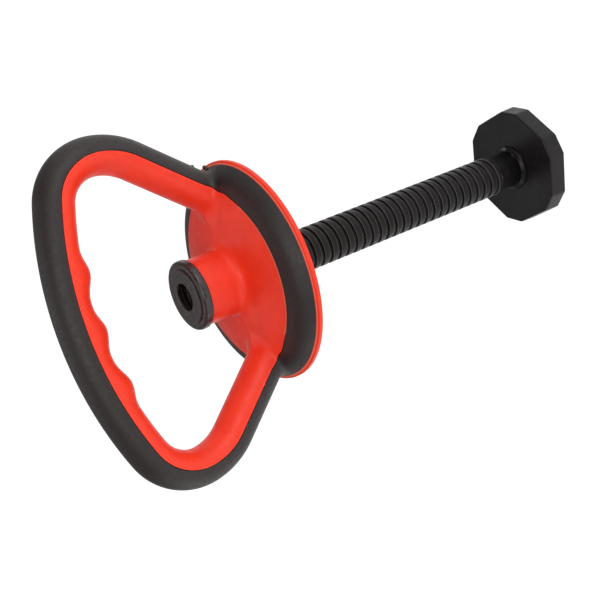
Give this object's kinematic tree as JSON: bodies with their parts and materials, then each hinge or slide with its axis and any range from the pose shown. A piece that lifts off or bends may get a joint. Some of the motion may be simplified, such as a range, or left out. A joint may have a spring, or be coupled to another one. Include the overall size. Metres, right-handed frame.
{
  "type": "adjustable kettlebell handle",
  "caption": "D-shaped two-tone loop handle over a domed flange, with a long threaded clamp bolt on a hexagonal foot that holds weight plates under the flange.",
  "frame": {"origin": "centre of the foot's outer face, the point on the main axis that the part stands on", "axes": "+Z from the foot up the bolt to the grip; the loop lies in the XZ plane and the grip runs along X; Y is across the loop"},
  "size_m": [0.195, 0.1278, 0.3343],
  "materials": {
    "red_plastic": "satin moulded plastic",
    "soft_skin": "matte soft-touch rubber",
    "black_plastic": "semi-gloss moulded plastic",
    "steel": "zinc plated"
  },
  "bodies": {
    "handle": {"handle_core": "red_plastic", "grip_skin": "soft_skin", "hub_nut": "black_plastic", "hub_end_cap": "black_plastic", "nut_retaining_plate": "steel", "retaining_screw_1": "steel", "retaining_screw_2": "steel", "retaining_screw_3": "steel"},
    "washer": {"thrust_washer": "black_plastic"},
    "bolt": {"thread_sleeve": "black_plastic", "core_bolt": "steel", "core_nut": "steel", "hex_foot": "black_plastic", "foot_plug": "black_plastic"}
  },
  "joints": [
    {"name": "bolt_travel", "type": "slide", "parent": "handle", "child": "washer", "axis": [0, 0, 1], "range_m": [-0.01212, 0.01212]},
    {"name": "bolt_turn", "type": "hinge", "parent": "washer", "child": "bolt", "pos_m": [0, 0, 0.0124], "axis": [0, 0, 1], "range_deg": [-720, 720]}
  ],
  "couplings": [
    {"joint": "bolt_turn", "follows": "bolt_travel", "rad_per_m": 1036.8}
  ]
}
